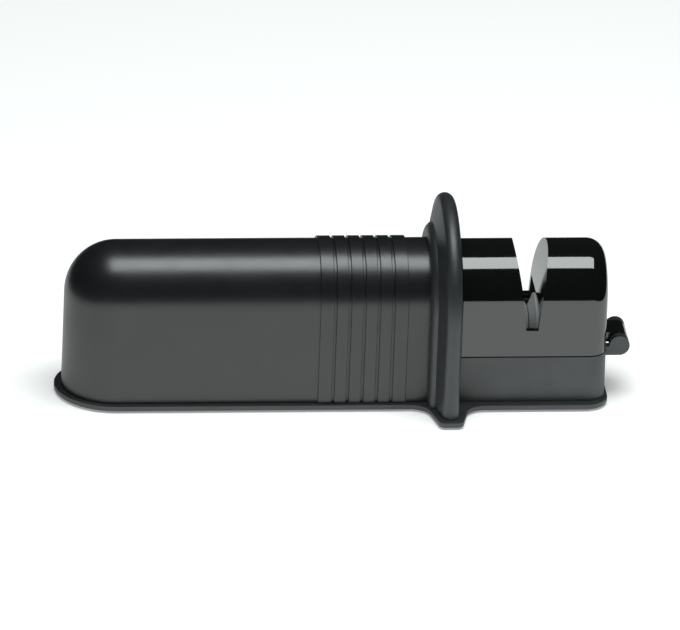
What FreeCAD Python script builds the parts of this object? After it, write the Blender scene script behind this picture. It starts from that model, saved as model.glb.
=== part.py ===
"""Hand-held roller knife sharpener, modelled as a parametric document.

Frame: X runs along the body, from the rounded handle end (-X) to the cover hinge (+X). Y is the
blade's direction of travel through the V slot, with the front at -Y. Z is up, and the rubber pads
stand on Z = 0. The origin is the bottom centre of the whole object. Lengths are millimetres.
"""

import FreeCAD, Part
import math
import os
import re

import Sketcher

# Driving sizes. Each one is written once here and reaches the geometry through the spreadsheet.
SIZES = {
    # overall body
    "handle_length": 126.1,  # rim's left end to the guard's centre plane
    "head_length": 51.8,  # guard's centre plane to the flat end of the head
    "body_radius": 16.8,  # half width, and the radius of the arched top
    "spring_height": 35.0,  # height of the arch's centre
    "wall": 2.2,
    "part_gap": 0.3,  # gap between separate bodies that do not fit into each other
    # base plate
    "pad_stand": 0.6,  # how far the rubber pads lift the plate
    "rim_thickness": 1.7,
    "handle_ledge": 2.3,  # rim outside the handle
    "head_ledge": 3.4,  # rim outside the head's long sides
    "end_ledge": 0.9,  # rim outside the head's end
    "rim_corner": 8.0,
    "ear_ledge": 2.3,  # rim outside the guard's foot
    "ear_tip": 3.7,  # half width of the ear at the guard's edge
    "ear_flare": 13.0,  # lean of the ear's flanks, degrees
    "ear_corner": 2.4,
    "ear_fillet": 6.5,
    "rib_width": 1.2,
    "rib_rise": 3.2,
    # handle grip ribs
    "grip_offset": 42.0,  # guard's centre plane back to the band's far edge
    "grip_length": 28.5,
    "grip_height": 0.7,
    "grip_first": 4.82,  # far edge of the band to the first groove's centre
    "groove_pitch": 4.72,
    "groove_width": 0.9,
    "groove_bite": 0.12,  # how far a groove cuts below the handle's own surface
    "grip_round": 0.22,
    # guard
    "guard_half_width": 31.8,
    "guard_spring": 34.4,  # height of the guard arch's centre
    "guard_edge": 2.65,  # radius of the guard's rounded edge
    "guard_front_taper": 14.0,  # degrees, handle side
    "guard_back_taper": 6.0,  # degrees, head side
    "collar_depth": 6.45,  # collar's mouth back from the guard's centre plane
    "collar_lip": 2.5,  # flat height of the collar's mouth outside the handle
    "collar_height": 5.6,  # whole height of the collar outside the handle
    "collar_round": 3.2,
    "socket_depth": 3.6,
    "socket_clearance": 0.15,
    "bulkhead": 3.1,
    # head
    "seam_height": 17.9,
    "cover_inset": 0.4,  # cover's arch is this much smaller than the body's
    "cover_wall": 2.4,
    "cover_round": 6.0,
    "head_corner": 6.0,
    "shelf": 2.0,  # extra wall on the guard side of the lower head
    # blade slot
    "slot_offset": 27.0,  # guard's centre plane to the slot's centre
    "slot_floor": 27.0,  # height of the slot's flat bottom
    "slot_floor_half": 2.0,
    "slot_top_half": 5.5,
    "slot_bow": 165.0,  # radius of the slot's gently curved sides
    "slot_wall": 2.0,  # guide wall beside the slot's mouth
    "slot_guide_floor": 33.6,  # the guide walls end here, above the wheels
    # hinge
    "hinge_offset": 4.83,  # head's end to the hinge axis
    "hinge_height": 18.0,
    "barrel_radius": 3.27,
    "barrel_length": 16.5,
    "lug_length": 3.0,
    "pin_radius": 1.5,
    "pin_clearance": 0.06,
    "lug_skin": 1.4,  # closed front end of the front lug
    # latch tongue on the cover
    "tongue_thickness": 1.5,
    "tongue_half_width": 4.0,
    "tongue_drop": 5.5,
    # wheels
    "axle_height": 21.4,
    "axle_radius": 2.0,
    "axle_overhang": 2.2,  # axle beyond each bearing block
    "running_clearance": 0.05,
    "wheel_radius": 11.0,
    "groove_radius": 6.9,  # wheel's radius where the two bevels meet
    "bevel_width": 2.0,
    "wheel_thickness": 5.6,
    "wheel_gap": 0.3,
    "bush_radius": 3.0,
    "side_play": 0.1,
    "washer_radius": 4.6,
    "washer_thickness": 0.5,
    # cradle and keeper
    "block_thickness": 3.5,
    "cradle_half_width": 13.4,
    "cradle_wall": 1.4,
    "cradle_floor": 2.7,
    "cradle_wall_height": 10.0,
    "keeper_height": 4.2,
    "keeper_screw_place": 9.2,
    "keeper_screw_radius": 0.9,
    "keeper_screw_length": 8.0,
    "keeper_head_radius": 1.6,
    "keeper_head_height": 0.9,
    # axle clips
    "clip_radius": 3.7,
    "clip_thickness": 0.8,
    "clip_groove": 1.5,  # radius of the axle in the clip's groove
    "clip_mouth": 1.3,
    # base screws
    "screw_radius": 1.4,
    "screw_clearance": 0.15,
    "screw_head_radius": 2.7,
    "screw_head_height": 1.3,
    "screw_length": 10.0,
    "boss_radius": 3.2,
    "boss_height": 12.5,
    "boss_sink": 0.35,  # how far a boss reaches into the wall beside it
    "handle_screw": 99.1,  # guard's centre plane back to the handle's screws
    "guard_screw": 10.5,  # guard's centre plane to the first head screws
    "end_screw": 5.6,  # head's end back to the last screws
    "recess_width": 0.7,
    "recess_reach": 1.7,
    "recess_depth": 0.8,
    # rubber pads
    "pad_radius": 4.5,
    "ear_pad_radius": 3.2,
    "pad_taper": 0.3,
    "pad_recess": 0.8,
    "handle_pad_inset": 13.1,  # rim's left end to the handle pads
    "handle_pad_spread": 9.0,
    "ear_pad_spread": 28.4,
    "head_pad_inset": 15.0,  # head's end back to the head pads
    "head_pad_spread": 11.0,
}

# Places and sizes that follow from the driving sizes.
DERIVED = {
    "half_length": "(handle_length + head_length + hinge_offset + barrel_radius) / 2",
    "rim_left": "0 - half_length",
    "guard_x": "handle_length - half_length",
    "head_end": "guard_x + head_length",
    "hinge_x": "head_end + hinge_offset",
    "slot_x": "guard_x + slot_offset",
    "dome_x": "rim_left + handle_ledge + body_radius",
    "shell_bottom": "pad_stand + rim_thickness",
    "handle_end": "guard_x - collar_depth + socket_depth",
    "inner_radius": "body_radius - wall",
    "grip_start": "guard_x - grip_offset",
    "socket_radius": "body_radius + socket_clearance",
    "tip_radius": "guard_half_width - guard_edge",
    "front_tip_x": "guard_x - guard_edge * cos(guard_front_taper)",
    "front_tip_r": "tip_radius + guard_edge * sin(guard_front_taper)",
    "back_tip_x": "guard_x + guard_edge * cos(guard_back_taper)",
    "back_tip_r": "tip_radius + guard_edge * sin(guard_back_taper)",
    "collar_x": "guard_x - collar_depth",
    "collar_lip_r": "body_radius + collar_lip",
    "collar_top_r": "body_radius + collar_height",
    "collar_top_x": "front_tip_x - (front_tip_r - collar_top_r) * tan(guard_front_taper)",
    "guard_face": "back_tip_x + (back_tip_r - body_radius) * tan(guard_back_taper)",
    "tray_left": "guard_face + shelf",
    "tray_half_width": "body_radius - cover_wall",
    "tray_top": "seam_height - part_gap / 2",
    "cover_left": "guard_face + part_gap",
    "cover_bottom": "seam_height + part_gap / 2",
    "cover_radius": "body_radius - cover_inset",
    "cover_inner": "cover_radius - cover_wall",
    "cover_top": "spring_height + cover_radius",
    "lug_inner": "barrel_length / 2 - lug_length",
    "pack_half": "wheel_gap / 2 + wheel_thickness + side_play + washer_thickness + side_play",
    "block_outer": "pack_half + block_thickness",
    "clip_inner": "block_outer + side_play",
    "axle_half": "block_outer + axle_overhang",
    "keeper_top": "axle_height + keeper_height",
    "ear_y": "guard_half_width + ear_ledge",
    "ear_root_half": "ear_tip + (ear_y - body_radius - handle_ledge) * tan(ear_flare)",
    "ear_tip_half": "ear_tip",
    "handle_rim_y": "body_radius + handle_ledge",
    "head_rim_y": "body_radius + head_ledge",
    "ear_head_half": "ear_tip + (ear_y - head_rim_y) * tan(ear_flare)",
    "rim_right": "head_end + end_ledge",
    "handle_boss_y": "inner_radius + boss_sink - boss_radius",
    "head_boss_y": "tray_half_width + boss_sink - boss_radius",
    "handle_screw_x": "guard_x - handle_screw",
    "guard_screw_x": "guard_x + guard_screw",
    "end_screw_x": "head_end - end_screw",
    "boss_top": "shell_bottom + boss_height",
}

FUNCTIONS = {"sin", "cos", "tan", "sqrt"}

document = FreeCAD.newDocument("roller_sharpener")
sheet = document.addObject("Spreadsheet::Sheet", "Size")
for row, (alias, number) in enumerate(SIZES.items(), start=1):
    sheet.set(f"A{row}", alias)
    sheet.set(f"B{row}", str(number))
    sheet.setAlias(f"B{row}", alias)
document.recompute()


# ---------------------------------------------------------------------------------------------
# Expressions


def bound(text):
    """Spell an expression out in the sheet's aliases, following derived places."""

    def spell(match):
        word = match.group(0)
        if word in FUNCTIONS:
            return word
        if word in SIZES:
            return "Size." + word
        return "(" + bound(DERIVED[word]) + ")"

    return re.sub(r"[a-z]\w*", spell, str(text))


def measure(text):
    """Value of an expression with the sheet's present sizes."""
    return float(sheet.evalExpression(bound(text)))


def bind(thing, **properties):
    """Bind properties of an object to expressions; __ in a name stands for a dot."""
    for name, text in properties.items():
        thing.setExpression(name.replace("__", "."), bound(text))


# ---------------------------------------------------------------------------------------------
# Sketches


def new_body(label):
    body = document.addObject("PartDesign::Body", label)
    body.Label = label
    return body


def origin_feature(body, role):
    return next(item for item in body.Origin.OriginFeatures if item.Role == role)


def new_sketch(body, name, plane, x="0", y="0", z="0"):
    """Sketch on one of the body's own origin planes, shifted in the plane's own directions."""
    sketch = body.newObject("Sketcher::SketchObject", f"{body.Label}_{name}")
    sketch.AttachmentSupport = (origin_feature(body, plane), [""])
    sketch.MapMode = "FlatFace"
    bind(
        sketch,
        AttachmentOffset__Base__x=x,
        AttachmentOffset__Base__y=y,
        AttachmentOffset__Base__z=z,
    )
    return sketch


def pin_point(sketch, edge, end, x, y):
    """Hold a point of the sketch at two expressions."""
    for kind, text in (("DistanceX", x), ("DistanceY", y)):
        index = sketch.addConstraint(
            Sketcher.Constraint(kind, -1, 1, edge, end, measure(text))
        )
        sketch.setExpression(f"Constraints[{index}]", bound(text))


def arc_between(start, end, radius, side):
    """Minor arc from start to end; side is +1 when its centre lies left of the way there."""
    middle = (start + end) / 2
    along = end - start
    half = along.Length / 2
    normal = FreeCAD.Vector(-along.y, along.x, 0).normalize() * side
    rise = math.sqrt(max(radius * radius - half * half, 0.0))
    centre = middle + normal * rise
    crown = centre - normal * radius
    return Part.Arc(start, crown, end)


def draw(sketch, corners):
    """Closed outline: (x, y) is a straight run to that corner, (x, y, radius, side) an arc."""
    places = [
        FreeCAD.Vector(measure(corner[0]), measure(corner[1]), 0) for corner in corners
    ]
    first = sketch.GeometryCount
    shapes = []
    for index, corner in enumerate(corners):
        start, end = places[index - 1], places[index]
        if len(corner) == 2:
            shapes.append(Part.LineSegment(start, end))
        else:
            shapes.append(arc_between(start, end, measure(corner[2]), corner[3]))
    sketch.addGeometry(shapes, False)
    ends = []
    for index, corner in enumerate(corners):
        edge = first + index
        forward = (sketch.getPoint(edge, 2) - places[index]).Length < (
            sketch.getPoint(edge, 1) - places[index]
        ).Length
        ends.append((1, 2) if forward else (2, 1))
    for index, corner in enumerate(corners):
        edge = first + index
        following = (index + 1) % len(corners)
        sketch.addConstraint(
            Sketcher.Constraint(
                "Coincident",
                edge,
                ends[index][1],
                first + following,
                ends[following][0],
            )
        )
        pin_point(sketch, edge, ends[index][1], corner[0], corner[1])
        if len(corner) > 2:
            number = sketch.addConstraint(
                Sketcher.Constraint("Radius", edge, measure(corner[2]))
            )
            sketch.setExpression(f"Constraints[{number}]", bound(corner[2]))


def draw_circle(sketch, x, y, radius):
    centre = FreeCAD.Vector(measure(x), measure(y), 0)
    edge = sketch.addGeometry(
        Part.Circle(centre, FreeCAD.Vector(0, 0, 1), measure(radius)), False
    )
    pin_point(sketch, edge, 3, x, y)
    number = sketch.addConstraint(Sketcher.Constraint("Radius", edge, measure(radius)))
    sketch.setExpression(f"Constraints[{number}]", bound(radius))


def draw_box(sketch, left, low, right, high):
    draw(sketch, [(left, low), (right, low), (right, high), (left, high)])


def draw_arch(sketch, radius, bottom, spring="spring_height"):
    """Flat bottom, upright sides and a half-round top, centred on the sketch's Y axis."""
    draw(
        sketch,
        [
            (f"0 - ({radius})", bottom),
            (radius, bottom),
            (radius, spring),
            ("0", f"{spring} + {radius}", radius, 1),
            (f"0 - ({radius})", spring, radius, 1),
        ],
    )


def draw_arch_band(sketch, inner, outer, bottom, spring="spring_height"):
    """The strip between two arches, open at the bottom."""
    draw(
        sketch,
        [
            (outer, bottom),
            (outer, spring),
            ("0", f"{spring} + {outer}", outer, 1),
            (f"0 - ({outer})", spring, outer, 1),
            (f"0 - ({outer})", bottom),
            (f"0 - ({inner})", bottom),
            (f"0 - ({inner})", spring),
            ("0", f"{spring} + {inner}", inner, -1),
            (inner, spring, inner, -1),
            (inner, bottom),
        ],
    )


# ---------------------------------------------------------------------------------------------
# Features


def extrude(kind, body, sketch, length, symmetric=False, backward=False):
    """Pad or Pocket along the sketch's normal, against it, or half each way."""
    feature = body.newObject(f"PartDesign::{kind}", f"{sketch.Name}_{kind.lower()}")
    feature.Profile = sketch
    bind(feature, Length=length)
    if symmetric:
        feature.SideType = "Symmetric"
    feature.Reversed = backward
    sketch.Visibility = False
    return feature


def pad(body, sketch, length, **how):
    return extrude("Pad", body, sketch, length, **how)


def pocket(body, sketch, length, **how):
    """Pocket that has to remove material; it cuts towards the sketch's own normal."""
    document.recompute()
    before = body.Shape.Volume
    how["backward"] = not how.get("backward", False)
    feature = extrude("Pocket", body, sketch, length, **how)
    document.recompute()
    if body.Shape.Volume > before - 0.01:
        raise RuntimeError(f"{feature.Name} cuts nothing")
    return feature


def revolve(kind, body, sketch, axis, angle=360.0, symmetric=False):
    feature = body.newObject(f"PartDesign::{kind}", f"{sketch.Name}_{kind.lower()}")
    feature.Profile = sketch
    feature.ReferenceAxis = (sketch, [axis])
    feature.Angle = angle
    feature.Midplane = symmetric
    sketch.Visibility = False
    return feature


def edges_where(shape, test):
    """Names of the edges whose bounding box passes the test."""
    return [
        f"Edge{number}"
        for number, edge in enumerate(shape.Edges, start=1)
        if test(edge.BoundBox)
    ]


def round_edges(body, name, radius, test):
    """Fillet the edges of the body's present shape that pass the test."""
    document.recompute()
    base = body.Tip
    names = edges_where(base.Shape, test)
    if not names:
        raise RuntimeError(f"{body.Label} has no edge for {name}")
    feature = body.newObject("PartDesign::Fillet", f"{body.Label}_{name}")
    feature.Base = (base, names)
    bind(feature, Radius=radius)
    return feature


def near(value, text, slack=0.02):
    return abs(value - measure(text)) < slack


def mirror_across_length(body, originals, name):
    """Copy features to the other side of the XZ plane."""
    feature = body.newObject("PartDesign::Mirrored", f"{body.Label}_{name}")
    feature.Originals = originals
    feature.MirrorPlane = (origin_feature(body, "XZ_Plane"), [""])
    body.Tip = feature
    return feature


def cylinder(name, radius, height, x, y, z, towards):
    """Part cylinder whose base is at x, y, z and that runs towards a direction."""
    item = document.addObject("Part::Cylinder", name)
    bind(item, Radius=radius, Height=height)
    item.Placement.Rotation = FreeCAD.Rotation(FreeCAD.Vector(0, 0, 1), towards)
    bind(
        item, Placement__Base__x=x, Placement__Base__y=y, Placement__Base__z=z
    )
    return item


def cut(label, base, tool):
    item = document.addObject("Part::Cut", label)
    item.Label = label
    item.Base = base
    item.Tool = tool
    return item


def shift(text, steps):
    return f"{text} + ({steps})"


ALONG_X = FreeCAD.Vector(1, 0, 0)
ALONG_Y = FreeCAD.Vector(0, 1, 0)


# ---------------------------------------------------------------------------------------------
# Handle shell: arched tube with a domed end, six grip ribs and two screw bosses


def make_handle_shell():
    body = new_body("handle_shell")
    tube = new_sketch(body, "tube", "YZ_Plane", z="dome_x")
    draw_arch(tube, "body_radius", "shell_bottom")
    pad(body, tube, "handle_end - dome_x")

    end = new_sketch(body, "end", "XZ_Plane", x="dome_x")
    draw(
        end,
        [
            ("0", "shell_bottom"),
            ("0", "spring_height + body_radius"),
            ("0 - body_radius", "spring_height", "body_radius", 1),
            ("0 - body_radius", "shell_bottom"),
        ],
    )
    revolve("Revolution", body, end, "V_Axis")

    band = new_sketch(body, "grip", "YZ_Plane", z="grip_start")
    draw_arch_band(
        band, "body_radius - wall / 2", "body_radius + grip_height", "shell_bottom"
    )
    pad(body, band, "grip_length")

    groove = new_sketch(
        body, "groove", "YZ_Plane", z="grip_start + grip_first - groove_width / 2"
    )
    draw_arch_band(
        groove, "body_radius - groove_bite", "body_radius + 3 * grip_height", "0"
    )
    first = pocket(body, groove, "groove_width")
    pattern = body.newObject("PartDesign::LinearPattern", "handle_shell_grooves")
    pattern.Originals = [first]
    pattern.Direction = (origin_feature(body, "X_Axis"), [""])
    bind(pattern, Length="4 * groove_pitch")
    pattern.Occurrences = 5
    body.Tip = pattern

    crest = measure("body_radius + grip_height")
    round_edges(
        body,
        "grip_rounds",
        "grip_round",
        lambda box: box.XLength < 0.01
        and max(box.YMax, -box.YMin) > crest - 0.01
        and box.ZLength > 1.0
        and box.XMin > measure("grip_start") - 0.01
        and box.XMax < measure("grip_start + grip_length") + 0.01,
    )

    hollow = new_sketch(body, "hollow", "YZ_Plane", z="dome_x")
    draw_arch(hollow, "inner_radius", "0")
    pocket(body, hollow, "handle_end - dome_x + wall")

    core = new_sketch(body, "core", "XZ_Plane", x="dome_x")
    draw(
        core,
        [
            ("0", "0"),
            ("0", "spring_height + inner_radius"),
            ("0 - inner_radius", "spring_height", "inner_radius", 1),
            ("0 - inner_radius", "0"),
        ],
    )
    revolve("Groove", body, core, "V_Axis")

    add_bosses(body, ["handle_screw_x"], "handle_boss_y")
    return body


def add_bosses(body, places, spread):
    """Screw bosses with pilot holes, in mirrored pairs beside the long walls."""
    posts = new_sketch(body, "bosses", "XY_Plane", z="shell_bottom")
    pilots = new_sketch(body, "pilots", "XY_Plane", z="shell_bottom")
    for place in places:
        for side in ("", "0 - "):
            draw_circle(posts, place, f"{side}({spread})", "boss_radius")
            draw_circle(
                pilots, place, f"{side}({spread})", "screw_radius + screw_clearance"
            )
    pad(body, posts, "boss_height")
    pocket(body, pilots, "screw_length")


# ---------------------------------------------------------------------------------------------
# Head body: the guard with its collar, the lower head with its tray, and two hinge lugs


def guard_half_outline():
    """Guard's section from the collar round its edge to the face that meets the head."""
    return [
        ("collar_x", "collar_lip_r"),
        ("collar_top_x", "collar_top_r", "collar_round", -1),
        ("front_tip_x", "front_tip_r"),
        ("guard_x", "guard_half_width", "guard_edge", -1),
        ("back_tip_x", "back_tip_r", "guard_edge", -1),
        ("guard_face", "body_radius"),
    ]


def mirrored_outline(half):
    """The same section on the negative side, run backwards."""
    other = []
    for index in range(len(half) - 1, -1, -1):
        corner = half[index]
        place = (corner[0], f"0 - ({corner[1]})")
        arrival = half[index + 1] if index + 1 < len(half) else ()
        other.append(place + tuple(arrival[2:]))
    return other


def make_head_body():
    body = new_body("head_body")
    section = new_sketch(body, "guard_section", "XZ_Plane", y="guard_spring")
    draw(
        section,
        [("collar_x", "0")] + guard_half_outline() + [("guard_face", "0")],
    )
    revolve("Revolution", body, section, "H_Axis", 180.0, symmetric=True)

    skirt = new_sketch(body, "guard_plan", "XY_Plane", z="guard_spring")
    half = guard_half_outline()
    draw(skirt, half + mirrored_outline(half))
    pad(body, skirt, "guard_spring - shell_bottom", backward=True)

    block = new_sketch(body, "head_plan", "XY_Plane", z="shell_bottom")
    draw_box(block, "guard_x", "0 - body_radius", "head_end", "body_radius")
    pad(body, block, "tray_top - shell_bottom")
    round_edges(
        body,
        "head_corners",
        "head_corner",
        lambda box: box.XLength < 0.01
        and box.YLength < 0.01
        and near(box.XMax, "head_end"),
    )

    socket = new_sketch(body, "socket", "YZ_Plane", z="collar_x")
    draw_arch(socket, "socket_radius", "0")
    pocket(body, socket, "socket_depth + socket_clearance")
    core = new_sketch(body, "guard_core", "YZ_Plane", z="collar_x")
    draw_arch(core, "inner_radius", "0")
    pocket(body, core, "guard_face - bulkhead - collar_x")

    tray = new_sketch(body, "tray", "XY_Plane")
    draw(
        tray,
        [
            ("tray_left", "0 - tray_half_width"),
            ("head_end - head_corner", "0 - tray_half_width"),
            (
                "head_end - cover_wall",
                "head_corner - body_radius",
                "head_corner - cover_wall",
                1,
            ),
            ("head_end - cover_wall", "body_radius - head_corner"),
            (
                "head_end - head_corner",
                "tray_half_width",
                "head_corner - cover_wall",
                1,
            ),
            ("tray_left", "tray_half_width"),
        ],
    )
    pocket(body, tray, "seam_height")
    add_bosses(body, ["guard_screw_x", "end_screw_x"], "head_boss_y")

    # Each lug is a round eye on a low neck, so the cover's arm can pass above the neck.
    for side, name in (("0 - ", "front"), ("", "back")):
        place = f"0 - ({side}(lug_inner + lug_length / 2))"
        neck = new_sketch(body, f"{name}_neck", "XZ_Plane", z=place)
        draw_box(
            neck,
            "head_end - cover_wall / 2",
            "hinge_height - barrel_radius",
            "hinge_x",
            "tray_top",
        )
        pad(body, neck, "lug_length", symmetric=True)
        eye = new_sketch(body, f"{name}_eye", "XZ_Plane", z=place)
        draw_circle(eye, "hinge_x", "hinge_height", "barrel_radius")
        pad(body, eye, "lug_length", symmetric=True)
    bore = new_sketch(
        body, "pin_bore", "XZ_Plane", z="barrel_length / 2 - lug_skin"
    )
    draw_circle(bore, "hinge_x", "hinge_height", "pin_radius")
    pocket(body, bore, "barrel_length", backward=True)
    return body


# ---------------------------------------------------------------------------------------------
# Base plate: flat rim with two ears, cradle ribs, countersunk screw holes and pad recesses


def screw_places():
    return [
        ("handle_screw_x", "handle_boss_y"),
        ("guard_screw_x", "head_boss_y"),
        ("end_screw_x", "head_boss_y"),
    ]


def pad_places():
    return [
        ("handle_pad", "rim_left + handle_pad_inset", "handle_pad_spread", "pad_radius"),
        ("guard_pad", "guard_x", "ear_pad_spread", "ear_pad_radius"),
        ("head_pad", "head_end - head_pad_inset", "head_pad_spread", "pad_radius"),
    ]


def make_base_plate():
    body = new_body("base_plate")
    plan = new_sketch(body, "plan", "XY_Plane", z="pad_stand")
    near_side = [
        ("dome_x", "0 - handle_rim_y"),
        ("guard_x - ear_root_half", "0 - handle_rim_y"),
        ("guard_x - ear_tip_half", "0 - ear_y"),
        ("guard_x + ear_tip_half", "0 - ear_y"),
        ("guard_x + ear_head_half", "0 - head_rim_y"),
        ("rim_right", "0 - head_rim_y"),
    ]
    far_side = [
        ("rim_right", "head_rim_y"),
        ("guard_x + ear_head_half", "head_rim_y"),
        ("guard_x + ear_tip_half", "ear_y"),
        ("guard_x - ear_tip_half", "ear_y"),
        ("guard_x - ear_root_half", "handle_rim_y"),
        ("dome_x", "handle_rim_y"),
        ("rim_left", "0", "handle_rim_y", 1),
    ]
    start = ("dome_x", "0 - handle_rim_y", "handle_rim_y", 1)
    draw(plan, [start] + near_side[1:] + far_side)
    pad(body, plan, "rim_thickness")

    def upright(box):
        return box.XLength < 0.01 and box.YLength < 0.01

    round_edges(
        body,
        "rim_corners",
        "rim_corner",
        lambda box: upright(box) and near(box.XMax, "rim_right"),
    )
    round_edges(
        body,
        "ear_roots",
        "ear_fillet",
        lambda box: upright(box)
        and abs(box.XMax - measure("guard_x")) > measure("ear_tip_half") + 0.5
        and abs(box.XMax - measure("guard_x")) < measure("ear_root_half") + 0.5,
    )
    round_edges(
        body,
        "ear_corners",
        "ear_corner",
        lambda box: upright(box) and near(abs(box.YMax), "ear_y"),
    )
    round_edges(
        body,
        "lower_edge",
        "rim_thickness / 3",
        lambda box: near(box.ZMax, "pad_stand") and near(box.ZMin, "pad_stand"),
    )

    ribs = new_sketch(body, "cradle_ribs", "XY_Plane", z="shell_bottom")
    for side in (1, -1):
        inner = f"slot_x + {side} * (block_outer + part_gap)"
        outer = f"slot_x + {side} * (block_outer + part_gap + rib_width)"
        left, right = (inner, outer) if side > 0 else (outer, inner)
        draw_box(ribs, left, "0 - cradle_half_width / 2", right, "cradle_half_width / 2")
    pad(body, ribs, "rib_rise")

    long_ribs = new_sketch(body, "handle_ribs", "XY_Plane", z="shell_bottom")
    for side in (1, -1):
        inner = f"{side} * (inner_radius - part_gap - rib_width)"
        outer = f"{side} * (inner_radius - part_gap)"
        low, high = (inner, outer) if side > 0 else (outer, inner)
        draw_box(
            long_ribs,
            "handle_screw_x + 2 * boss_radius",
            low,
            "collar_x - part_gap",
            high,
        )
    pad(body, long_ribs, "rib_rise")

    holes = new_sketch(body, "screw_holes", "XY_Plane")
    for x, y in screw_places():
        for side in ("", "0 - "):
            draw_circle(holes, x, f"{side}({y})", "screw_radius + screw_clearance")
    pocket(body, holes, "shell_bottom + rib_rise")
    for number, (x, y) in enumerate(screw_places(), start=1):
        for side, name in (("0 - ", "front"), ("", "back")):
            sink = body.newObject(
                "PartDesign::SubtractiveCone", f"base_plate_sink_{number}_{name}"
            )
            sink.AttachmentSupport = (origin_feature(body, "XY_Plane"), [""])
            sink.MapMode = "FlatFace"
            bind(
                sink,
                Radius1="screw_head_radius + screw_clearance",
                Radius2="screw_radius + screw_clearance",
                Height="screw_head_height",
                AttachmentOffset__Base__x=x,
                AttachmentOffset__Base__y=f"{side}({y})",
                AttachmentOffset__Base__z="pad_stand",
            )

    seats = new_sketch(body, "pad_seats", "XY_Plane", z="pad_stand")
    for _, x, y, radius in pad_places():
        for side in ("", "0 - "):
            draw_circle(seats, x, f"{side}({y})", radius)
    pocket(body, seats, "pad_recess")
    return body


def make_rubber_pads():
    """Six tapered rubber discs, each in its recess under the base plate."""
    pads = []
    for name, x, y, radius in pad_places():
        for side, where in (("0 - ", "front"), ("", "back")):
            label = f"{name}_{where}"
            item = document.addObject("Part::Cone", label)
            item.Label = label
            bind(
                item,
                Radius1=f"{radius} - pad_taper",
                Radius2=f"{radius} - running_clearance",
                Height="pad_stand + pad_recess",
                Placement__Base__x=x,
                Placement__Base__y=f"{side}({y})",
                Placement__Base__z="0",
            )
            pads.append(item)
    return pads


# ---------------------------------------------------------------------------------------------
# Head cover: glossy arch with the V slot, two guide walls, a hinge knuckle and a latch tongue


def make_head_cover():
    body = new_body("head_cover")
    arch = new_sketch(body, "arch", "YZ_Plane", z="cover_left")
    draw_arch(arch, "cover_radius", "cover_bottom")
    pad(body, arch, "head_end - cover_left")
    round_edges(
        body,
        "end_round",
        "cover_round",
        lambda box: box.XLength < 0.01
        and near(box.XMax, "head_end")
        and box.ZLength > 1.0,
    )

    guide_half = "slot_top_half + slot_wall"
    for name, left, right in (
        ("left_chamber", "cover_left + wall", f"slot_x - ({guide_half})"),
        ("right_chamber", f"slot_x + ({guide_half})", "head_end - cover_wall"),
    ):
        chamber = new_sketch(body, name, "YZ_Plane", z=left)
        draw_arch(chamber, "cover_inner", "0")
        pocket(body, chamber, f"({right}) - ({left})")
    well = new_sketch(body, "wheel_well", "XZ_Plane")
    draw_box(
        well,
        f"slot_x - ({guide_half}) - wall",
        "0",
        f"slot_x + ({guide_half}) + wall",
        "slot_guide_floor",
    )
    pocket(body, well, "2 * cover_inner", symmetric=True)

    slot = new_sketch(body, "slot", "XZ_Plane")
    draw(
        slot,
        [
            ("slot_x - slot_floor_half", "slot_floor", "slot_bow", -1),
            ("slot_x + slot_floor_half", "slot_floor"),
            ("slot_x + slot_top_half", "cover_top", "slot_bow", -1),
            ("slot_x + slot_top_half", "cover_top + wall"),
            ("slot_x - slot_top_half", "cover_top + wall"),
            ("slot_x - slot_top_half", "cover_top"),
        ],
    )
    pocket(body, slot, "3 * body_radius", symmetric=True)

    # The knuckle hangs on a short arm above the seam.
    arm = new_sketch(body, "arm", "XZ_Plane")
    draw_box(
        arm,
        "head_end - cover_wall / 2",
        "cover_bottom",
        "hinge_x",
        "hinge_height + barrel_radius",
    )
    pad(body, arm, "2 * (lug_inner - part_gap)", symmetric=True)
    knuckle = new_sketch(body, "knuckle", "XZ_Plane")
    draw_circle(knuckle, "hinge_x", "hinge_height", "barrel_radius")
    pad(body, knuckle, "2 * (lug_inner - part_gap)", symmetric=True)
    bore = new_sketch(body, "knuckle_bore", "XZ_Plane")
    draw_circle(bore, "hinge_x", "hinge_height", "pin_radius + pin_clearance")
    pocket(body, bore, "barrel_length", symmetric=True)

    tongue = new_sketch(body, "tongue", "XZ_Plane")
    draw_box(
        tongue,
        "tray_left + 3 * part_gap",
        "seam_height - tongue_drop",
        "tray_left + 3 * part_gap + tongue_thickness",
        "cover_bottom + tongue_thickness",
    )
    pad(body, tongue, "2 * tongue_half_width", symmetric=True)
    bridge = new_sketch(body, "tongue_bridge", "XZ_Plane")
    draw_box(
        bridge,
        "cover_left",
        "cover_bottom",
        "tray_left + 3 * part_gap + tongue_thickness",
        "cover_bottom + tongue_thickness",
    )
    pad(body, bridge, "2 * tongue_half_width", symmetric=True)
    return body


# ---------------------------------------------------------------------------------------------
# Hinge pin, axle, bushes, washers and clips: turned and stamped pieces


def make_hinge_pin():
    pin = cylinder(
        "hinge_pin",
        "pin_radius",
        "barrel_length - lug_skin",
        "hinge_x",
        "lug_skin - barrel_length / 2",
        "hinge_height",
        ALONG_Y,
    )
    pin.Label = "hinge_pin"
    return pin


def make_wheel_axle():
    """Steel axle with a groove near each end for its clip."""
    body = new_body("wheel_axle")
    profile = new_sketch(body, "profile", "XZ_Plane", x="slot_x", y="axle_height")
    right = [
        ("clip_inner", "axle_radius"),
        ("clip_inner", "clip_groove"),
        ("clip_inner + clip_thickness", "clip_groove"),
        ("clip_inner + clip_thickness", "axle_radius"),
        ("axle_half", "axle_radius"),
    ]
    left = [(f"0 - ({x})", y) for x, y in right]
    draw(
        profile,
        [("axle_half", "0"), ("0 - axle_half", "0")] + left[::-1] + right,
    )
    revolve("Revolution", body, profile, "H_Axis")
    return body


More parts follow.
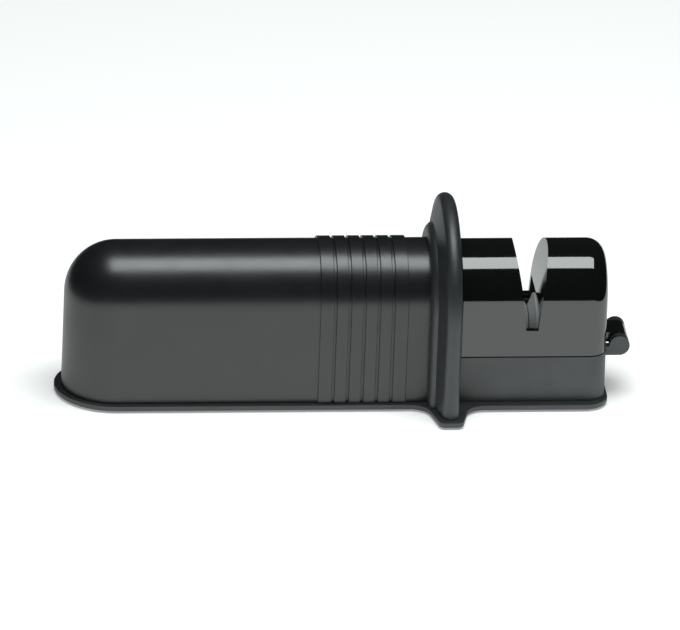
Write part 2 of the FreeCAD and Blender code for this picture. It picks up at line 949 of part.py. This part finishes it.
def make_wheel(name, side):
    """Ceramic wheel whose bevel faces the other wheel across the slot's centre."""
    body = new_body(name)
    profile = new_sketch(body, "profile", "XZ_Plane", x="slot_x", y="axle_height")
    inner = f"{side} * wheel_gap / 2"
    shoulder = f"{side} * (wheel_gap / 2 + bevel_width)"
    outer = f"{side} * (wheel_gap / 2 + wheel_thickness)"
    draw(
        profile,
        [
            (inner, "bush_radius"),
            (outer, "bush_radius"),
            (outer, "wheel_radius"),
            (shoulder, "wheel_radius"),
            (inner, "groove_radius"),
        ],
    )
    revolve("Revolution", body, profile, "H_Axis")
    return body


def make_ring(label, start, length, outer, inner):
    """Ring about the axle line, from a start measured from the slot's centre."""
    rim = cylinder(
        f"{label}_rim", outer, length, f"slot_x + {start}", "0", "axle_height", ALONG_X
    )
    hole = cylinder(
        f"{label}_hole", inner, length, f"slot_x + {start}", "0", "axle_height", ALONG_X
    )
    return cut(label, rim, hole)


def make_clip(label, start):
    """Spring clip: a ring with a mouth at its lower side."""
    ring = make_ring(
        f"{label}_ring",
        start,
        "clip_thickness",
        "clip_radius",
        "clip_groove + running_clearance",
    )
    mouth = document.addObject("Part::Box", f"{label}_mouth")
    bind(
        mouth,
        Length="clip_thickness",
        Width="2 * clip_mouth",
        Height="clip_radius",
        Placement__Base__x=f"slot_x + {start}",
        Placement__Base__y="0 - clip_mouth",
        Placement__Base__z="axle_height - clip_radius",
    )
    return cut(label, ring, mouth)


# ---------------------------------------------------------------------------------------------
# Wheel cradle and axle keeper: the two halves that hold the axle


def screw_corners():
    """The keeper's four screws, over the middle of the two bearing blocks."""
    across = "pack_half + block_thickness / 2"
    return [
        (f"slot_x + {sx} * ({across})", f"{sy} * keeper_screw_place")
        for sx in (1, -1)
        for sy in (1, -1)
    ]


def make_wheel_cradle():
    body = new_body("wheel_cradle")
    block = new_sketch(body, "block", "XY_Plane", z="shell_bottom")
    draw_box(
        block,
        "slot_x - block_outer",
        "0 - cradle_half_width",
        "slot_x + block_outer",
        "cradle_half_width",
    )
    pad(body, block, "axle_height - shell_bottom")
    well = new_sketch(body, "well", "XY_Plane", z="shell_bottom + cradle_floor")
    draw_box(
        well,
        "slot_x - pack_half",
        "cradle_wall - cradle_half_width",
        "slot_x + pack_half",
        "cradle_half_width - cradle_wall",
    )
    pocket(body, well, "axle_height")
    sides = new_sketch(body, "sides", "XZ_Plane")
    draw_box(
        sides,
        "slot_x - pack_half",
        "shell_bottom + cradle_wall_height",
        "slot_x + pack_half",
        "axle_height + wall",
    )
    pocket(body, sides, "3 * cradle_half_width", symmetric=True)
    notch = new_sketch(body, "bearing", "YZ_Plane", z="slot_x - block_outer")
    draw_circle(notch, "0", "axle_height", "axle_radius")
    pocket(body, notch, "2 * block_outer")
    holes = new_sketch(body, "keeper_holes", "XY_Plane", z="axle_height")
    for x, y in screw_corners():
        draw_circle(holes, x, y, "keeper_screw_radius")
    pocket(
        body,
        holes,
        "keeper_screw_length - keeper_height + keeper_head_height",
        backward=True,
    )
    return body


def make_axle_keeper():
    body = new_body("axle_keeper")
    block = new_sketch(body, "block", "XY_Plane", z="axle_height")
    draw_box(
        block,
        "slot_x - block_outer",
        "0 - cradle_half_width",
        "slot_x + block_outer",
        "cradle_half_width",
    )
    pad(body, block, "keeper_height")
    window = new_sketch(body, "window", "XY_Plane", z="axle_height")
    draw_box(
        window,
        "slot_x - pack_half",
        "cradle_wall - cradle_half_width",
        "slot_x + pack_half",
        "cradle_half_width - cradle_wall",
    )
    pocket(body, window, "keeper_height + wall")
    notch = new_sketch(body, "bearing", "YZ_Plane", z="slot_x - block_outer")
    draw_circle(notch, "0", "axle_height", "axle_radius")
    pocket(body, notch, "2 * block_outer")
    for name, radius, depth in (
        ("heads", "keeper_head_radius + screw_clearance", "keeper_head_height"),
        ("holes", "keeper_screw_radius + screw_clearance", "keeper_height"),
    ):
        holes = new_sketch(body, name, "XY_Plane", z="keeper_top")
        for x, y in screw_corners():
            draw_circle(holes, x, y, radius)
        pocket(body, holes, depth, backward=True)
    return body


# ---------------------------------------------------------------------------------------------
# Screws: each group is one sub-part of separate solids


def make_base_screws():
    """Six countersunk screws, driven up into the bosses, with cross recesses."""
    body = new_body("base_screws")
    body.AllowCompound = True
    for number, (x, y) in enumerate(screw_places(), start=1):
        for side, name in (("0 - ", "front"), ("", "back")):
            tag = f"{number}_{name}"
            shank = new_sketch(
                body, f"screw_{tag}", "XZ_Plane", x=x, z=f"0 - ({side}({y}))"
            )
            low = "pad_stand + running_clearance"
            draw(
                shank,
                [
                    ("0", low),
                    ("screw_head_radius", low),
                    ("screw_radius", f"{low} + screw_head_height"),
                    ("screw_radius", f"{low} + screw_length"),
                    ("0", f"{low} + screw_length + screw_radius"),
                ],
            )
            revolve("Revolution", body, shank, "V_Axis")
            cross = new_sketch(body, f"cross_{tag}", "XY_Plane", x=x, y=f"{side}({y})")
            reach, half = "recess_reach", "recess_width / 2"
            draw(
                cross,
                [
                    (reach, f"0 - {half}"),
                    (reach, half),
                    (half, half),
                    (half, reach),
                    (f"0 - {half}", reach),
                    (f"0 - {half}", half),
                    (f"0 - {reach}", half),
                    (f"0 - {reach}", f"0 - {half}"),
                    (f"0 - {half}", f"0 - {half}"),
                    (f"0 - {half}", f"0 - {reach}"),
                    (half, f"0 - {reach}"),
                    (half, f"0 - {half}"),
                ],
            )
            pocket(body, cross, "pad_stand + recess_depth")
    return body


def make_keeper_screws():
    """Four small cheese-head screws that clamp the keeper to the cradle."""
    body = new_body("keeper_screws")
    body.AllowCompound = True
    shanks = new_sketch(
        body, "shanks", "XY_Plane", z="keeper_top - keeper_head_height"
    )
    heads = new_sketch(body, "heads", "XY_Plane", z="keeper_top - keeper_head_height")
    slits = new_sketch(body, "slits", "XY_Plane", z="keeper_top")
    for x, y in screw_corners():
        draw_circle(shanks, x, y, "keeper_screw_radius")
        draw_circle(heads, x, y, "keeper_head_radius")
        draw_box(
            slits,
            f"{x} - keeper_head_radius",
            f"{y} - recess_width / 3",
            f"{x} + keeper_head_radius",
            f"{y} + recess_width / 3",
        )
    pad(body, shanks, "keeper_screw_length - wall", backward=True)
    pad(body, heads, "keeper_head_height - running_clearance")
    pocket(body, slits, "keeper_head_height / 2", backward=True)
    return body


# ---------------------------------------------------------------------------------------------
# Build, test and write every sub-part

wheel_side = "wheel_gap / 2"
washer_start = "wheel_gap / 2 + wheel_thickness + side_play"
pieces = [
    make_handle_shell(),
    make_head_body(),
    make_base_plate(),
    make_head_cover(),
    make_hinge_pin(),
    make_wheel_cradle(),
    make_axle_keeper(),
    make_wheel_axle(),
    make_wheel("left_wheel", -1),
    make_wheel("right_wheel", 1),
    make_ring(
        "left_wheel_bush",
        f"(0 - ({wheel_side}) - wheel_thickness)",
        "wheel_thickness",
        "bush_radius",
        "axle_radius + running_clearance",
    ),
    make_ring(
        "right_wheel_bush",
        f"({wheel_side})",
        "wheel_thickness",
        "bush_radius",
        "axle_radius + running_clearance",
    ),
    make_ring(
        "left_thrust_washer",
        f"(0 - ({washer_start}) - washer_thickness)",
        "washer_thickness",
        "washer_radius",
        "axle_radius + running_clearance",
    ),
    make_ring(
        "right_thrust_washer",
        f"({washer_start})",
        "washer_thickness",
        "washer_radius",
        "axle_radius + running_clearance",
    ),
    make_clip("left_axle_clip", "(0 - clip_inner - clip_thickness)"),
    make_clip("right_axle_clip", "clip_inner"),
    make_base_screws(),
    make_keeper_screws(),
] + make_rubber_pads()

document.recompute()

for item in document.Objects:
    if {"Invalid", "Error"} & set(item.State):
        raise RuntimeError(f"{item.Name} failed: {item.State}")
for piece in pieces:
    if piece.Shape.isNull() or not piece.Shape.isValid():
        raise RuntimeError(f"{piece.Label} has no valid shape")

os.makedirs("parts", exist_ok=True)
for piece in pieces:
    piece.Shape.exportStep(f"parts/{piece.Label}.step")
    box = piece.Shape.BoundBox
    print(
        f"{piece.Label}: {len(piece.Shape.Solids)} solid(s), {piece.Shape.Volume:.1f} mm3, "
        f"X {box.XMin:.2f}..{box.XMax:.2f} Y {box.YMin:.2f}..{box.YMax:.2f} "
        f"Z {box.ZMin:.2f}..{box.ZMax:.2f}"
    )
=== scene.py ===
"""Looks, camera and lamps for the roller knife sharpener.

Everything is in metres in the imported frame: X runs along the handle to the head, the front faces
-Y and the feet stand on Z = 0. Every CAD node keeps its mesh and takes its slot's finish.
"""

import math

import bpy
from mathutils import Matrix, Vector


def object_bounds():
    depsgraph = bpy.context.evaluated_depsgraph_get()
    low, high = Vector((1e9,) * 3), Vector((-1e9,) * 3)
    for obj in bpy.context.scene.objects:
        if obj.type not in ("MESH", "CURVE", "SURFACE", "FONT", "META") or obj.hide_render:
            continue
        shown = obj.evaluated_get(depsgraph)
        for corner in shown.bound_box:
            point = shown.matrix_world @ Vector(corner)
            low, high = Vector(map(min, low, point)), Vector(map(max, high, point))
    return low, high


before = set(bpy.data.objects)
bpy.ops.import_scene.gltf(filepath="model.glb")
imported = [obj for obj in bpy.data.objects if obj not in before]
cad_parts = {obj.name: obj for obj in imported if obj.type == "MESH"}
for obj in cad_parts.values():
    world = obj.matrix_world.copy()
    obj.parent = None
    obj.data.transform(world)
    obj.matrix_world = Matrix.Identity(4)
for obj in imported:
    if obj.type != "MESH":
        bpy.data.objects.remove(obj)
cad_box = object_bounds()

MM = 0.001


# ---------------------------------------------------------------- finishes

NOISE_LOW, NOISE_HIGH = 0.3, 0.7  # where nearly all of the noise's values lie
MOTTLE_SCALE = 60.0  # colour, in cells per metre
PATCH_SCALE = 140.0  # roughness
GRAIN_DEPTH = 0.05 * MM
# Samples and cosines for the highlight painted on edges and corners.
HIGHLIGHT_SAMPLES = 4
FLAT_COSINE, HIGHLIT_COSINE = 0.999, 0.9  # between a face's normal and its rounded normal

# dark and light are the two colours of the mottle, rough is the range of roughness, and the
# lighter edge colour is a highlight painted on edges and corners within its width.
LOOKS = {
    "satin_black": dict(
        dark=(0.008, 0.009, 0.010), light=(0.011, 0.012, 0.014), rough=(0.30, 0.35),
        ior=1.9, grain=0.12, grain_scale=2200, edge_highlight=(0.020, 0.022, 0.024)),
    "matte_black": dict(
        dark=(0.020, 0.023, 0.025), light=(0.026, 0.029, 0.032), rough=(0.42, 0.50),
        ior=2.0, grain=0.2, grain_scale=2600, edge_highlight=(0.034, 0.036, 0.036)),
    "gloss_black": dict(
        dark=(0.004, 0.0045, 0.0045), light=(0.005, 0.0055, 0.0055), rough=(0.05, 0.08),
        ior=2.1, grain=0.02, grain_scale=300, edge_highlight=(0.010, 0.011, 0.011),
        highlight_width=0.25 * MM),
    "grey_nylon": dict(
        dark=(0.020, 0.021, 0.021), light=(0.028, 0.029, 0.029), rough=(0.42, 0.52),
        grain=0.15, grain_scale=1800, edge_highlight=(0.045, 0.046, 0.046)),
    "steel": dict(
        dark=(0.50, 0.51, 0.52), light=(0.58, 0.59, 0.60), rough=(0.24, 0.34),
        metallic=1.0, grain=0.08, grain_scale=1500, stretch=(0.1, 1, 1)),
    "ceramic": dict(
        dark=(0.30, 0.31, 0.31), light=(0.40, 0.41, 0.41), rough=(0.50, 0.64),
        grain=0.5, grain_scale=4000, edge_highlight=(0.48, 0.49, 0.49)),
    "rubber": dict(
        dark=(0.012, 0.012, 0.012), light=(0.018, 0.018, 0.018), rough=(0.65, 0.80),
        grain=0.3, grain_scale=2400),
}


def new_material(name):
    """A node material with only its surface shader and output."""
    material = bpy.data.materials.new(name)
    material.use_nodes = True
    tree = material.node_tree
    tree.nodes.clear()
    shader = tree.nodes.new("ShaderNodeBsdfPrincipled")
    output = tree.nodes.new("ShaderNodeOutputMaterial")
    tree.links.new(shader.outputs["BSDF"], output.inputs["Surface"])
    return material, shader


def noise_of(tree, scale, detail, stretch):
    """Noise in the part's own metres, with its cells stretched along X, Y and Z."""
    place = tree.nodes.new("ShaderNodeTexCoord")
    mapping = tree.nodes.new("ShaderNodeMapping")
    mapping.inputs["Scale"].default_value = stretch
    noise = tree.nodes.new("ShaderNodeTexNoise")
    noise.inputs["Scale"].default_value = scale
    noise.inputs["Detail"].default_value = detail
    tree.links.new(place.outputs["Object"], mapping.inputs["Vector"])
    tree.links.new(mapping.outputs["Vector"], noise.inputs["Vector"])
    return noise.outputs["Fac"]


def mapped(tree, value, span, to):
    """Maps a value from one range to another, held at the ends."""
    node = tree.nodes.new("ShaderNodeMapRange")
    node.inputs["From Min"].default_value, node.inputs["From Max"].default_value = span
    node.inputs["To Min"].default_value, node.inputs["To Max"].default_value = to
    tree.links.new(value, node.inputs["Value"])
    return node.outputs["Result"]


def painted_edge_highlight(tree, width):
    """A mask for the painted edge highlight: 0 on flats, rising to 1 on edges and corners within
    the given width.
    """
    rounded = tree.nodes.new("ShaderNodeBevel")
    rounded.samples = HIGHLIGHT_SAMPLES
    rounded.inputs["Radius"].default_value = width
    face = tree.nodes.new("ShaderNodeNewGeometry")
    cosine = tree.nodes.new("ShaderNodeVectorMath")
    cosine.operation = "DOT_PRODUCT"
    tree.links.new(rounded.outputs["Normal"], cosine.inputs[0])
    tree.links.new(face.outputs["Normal"], cosine.inputs[1])
    return mapped(tree, cosine.outputs["Value"], (FLAT_COSINE, HIGHLIT_COSINE), (0, 1))


def colour_mix(tree, factor):
    """A mix of two colours, A at factor 0 and B at factor 1."""
    mix = tree.nodes.new("ShaderNodeMix")
    mix.data_type = "RGBA"
    tree.links.new(factor, mix.inputs["Factor"])
    return mix


def finish_of(name, dark, light, rough, grain, grain_scale, ior=1.5, metallic=0.0,
              edge_highlight=None, highlight_width=0.4 * MM, stretch=(1, 1, 1)):
    """A finish with mottled colour and roughness, a fine grain and, if given, a highlight painted
    in a lighter colour on edges and corners.
    """
    material, shader = new_material(name)
    tree = material.node_tree
    shader.inputs["IOR"].default_value = ior
    shader.inputs["Metallic"].default_value = metallic

    noise_span = (NOISE_LOW, NOISE_HIGH)
    mottle = noise_of(tree, MOTTLE_SCALE, 3.0, stretch)
    mix = colour_mix(tree, mapped(tree, mottle, noise_span, (0, 1)))
    mix.inputs["A"].default_value = (*dark, 1)
    mix.inputs["B"].default_value = (*light, 1)
    # Edges and corners take a lighter colour here: a painted highlight.
    if edge_highlight:
        body_colour = mix.outputs["Result"]
        mix = colour_mix(tree, painted_edge_highlight(tree, highlight_width))
        tree.links.new(body_colour, mix.inputs["A"])
        mix.inputs["B"].default_value = (*edge_highlight, 1)
    tree.links.new(mix.outputs["Result"], shader.inputs["Base Color"])

    patches = noise_of(tree, PATCH_SCALE, 3.0, stretch)
    tree.links.new(mapped(tree, patches, noise_span, rough), shader.inputs["Roughness"])

    bump = tree.nodes.new("ShaderNodeBump")
    bump.inputs["Strength"].default_value = grain
    bump.inputs["Distance"].default_value = GRAIN_DEPTH
    tree.links.new(noise_of(tree, grain_scale, 2.0, stretch), bump.inputs["Height"])
    tree.links.new(bump.outputs["Normal"], shader.inputs["Normal"])
    return material


finishes = {name: finish_of(name, **look) for name, look in LOOKS.items()}
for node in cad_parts.values():
    for place in node.material_slots:
        place.material = finishes[place.material.name.split(".")[0]]


# ---------------------------------------------------------------- camera

AZIMUTH = math.radians(6.404)  # turned towards -X from straight in front
ELEVATION = math.radians(23.6)
ROLL = math.radians(2.194)
DISTANCE = 8.0
SENSOR_WIDTH = 36.0  # with the lens, in the camera's own millimetres
FRAME_WIDTH = 220.06 * MM  # across the picture at the target
TARGET = Vector((-0.8, 0.0, 25.9)) * MM

ahead = Vector((math.sin(AZIMUTH) * math.cos(ELEVATION),
                math.cos(AZIMUTH) * math.cos(ELEVATION),
                -math.sin(ELEVATION)))
level = Vector((math.cos(AZIMUTH), -math.sin(AZIMUTH), 0))
upright = level.cross(ahead)
right = level * math.cos(ROLL) + upright * math.sin(ROLL)
up = upright * math.cos(ROLL) - level * math.sin(ROLL)

lens = bpy.data.cameras.new("camera")
lens.sensor_width = SENSOR_WIDTH
lens.lens = SENSOR_WIDTH * DISTANCE / FRAME_WIDTH
lens.clip_start, lens.clip_end = 0.1, 100
camera = bpy.data.objects.new("camera", lens)
turn = Matrix((right, up, -ahead)).transposed().to_4x4()
camera.matrix_world = Matrix.Translation(TARGET - ahead * DISTANCE) @ turn
bpy.context.collection.objects.link(camera)
bpy.context.scene.camera = camera
bpy.context.scene.view_settings.view_transform = "Standard"


# ---------------------------------------------------------------- lamps, floor and world

COOL_WHITE = (0.95, 1.0, 0.99)
# The gloss cover mirrors the floor sheet below and the softbox above, with dark between them.
FLOOR_SIZE = (0.44, 0.72)
FLOOR_GAP = 0.05 * MM
FLOOR_ALBEDO = 0.9
FLOOR_LIFT = 0.3  # added for the camera alone, so that only the contact shadow stays grey
DIM = (0.012, 0.013, 0.014)


def soft_lamp(name, place, aim, size, power):
    """A rectangular area lamp at place, facing aim, its first side along X."""
    data = bpy.data.lights.new(name, "AREA")
    data.shape = "RECTANGLE"
    data.size, data.size_y = size
    data.energy = power
    data.color = COOL_WHITE
    lamp = bpy.data.objects.new(name, data)
    lamp.location = place
    facing = (Vector(aim) - Vector(place)).normalized()
    lamp.rotation_euler = facing.to_track_quat("-Z", "Y").to_euler()
    bpy.context.collection.objects.link(lamp)
    return lamp


soft_lamp("overhead", place=(0.06, -0.078, 0.62), aim=(0.06, -0.077, 0.0),
          size=(0.55, 0.305), power=1.95)
fill = soft_lamp("fill", place=(0.1, -0.2, 1.5), aim=(0.0, -0.1, 0.0),
                 size=(1.2, 1.2), power=15.0)
fill.visible_glossy = False  # it lights the floor and isn't mirrored in the cover

floor_z = cad_box[0].z - FLOOR_GAP
bpy.ops.mesh.primitive_plane_add(size=1, location=(0, 0, floor_z))
floor = bpy.context.object
floor.name = "floor"
floor.scale = (*FLOOR_SIZE, 1)
floor_look, floor_shader = new_material("floor")
floor_shader.inputs["Base Color"].default_value = (FLOOR_ALBEDO,) * 3 + (1,)
floor_shader.inputs["Roughness"].default_value = 0.9
floor_shader.inputs["Specular IOR Level"].default_value = 0.0
floor_shader.inputs["Emission Color"].default_value = (1, 1, 1, 1)
tree = floor_look.node_tree
rays = tree.nodes.new("ShaderNodeLightPath")
lift = tree.nodes.new("ShaderNodeMath")
lift.operation = "MULTIPLY"
lift.inputs[1].default_value = FLOOR_LIFT
tree.links.new(rays.outputs["Is Camera Ray"], lift.inputs[0])
tree.links.new(lift.outputs["Value"], floor_shader.inputs["Emission Strength"])
floor.data.materials.append(floor_look)

# The world is white to the camera and dim to everything else.
world = bpy.data.worlds.new("world")
bpy.context.scene.world = world
world.use_nodes = True
tree = world.node_tree
tree.nodes.clear()
rays = tree.nodes.new("ShaderNodeLightPath")
choice = tree.nodes.new("ShaderNodeMixShader")
output = tree.nodes.new("ShaderNodeOutputWorld")
tree.links.new(rays.outputs["Is Camera Ray"], choice.inputs["Fac"])
for place, colour in ((1, DIM), (2, (1, 1, 1))):
    background = tree.nodes.new("ShaderNodeBackground")
    background.inputs["Color"].default_value = (*colour, 1)
    tree.links.new(background.outputs["Background"], choice.inputs[place])
tree.links.new(choice.outputs["Shader"], output.inputs["Surface"])
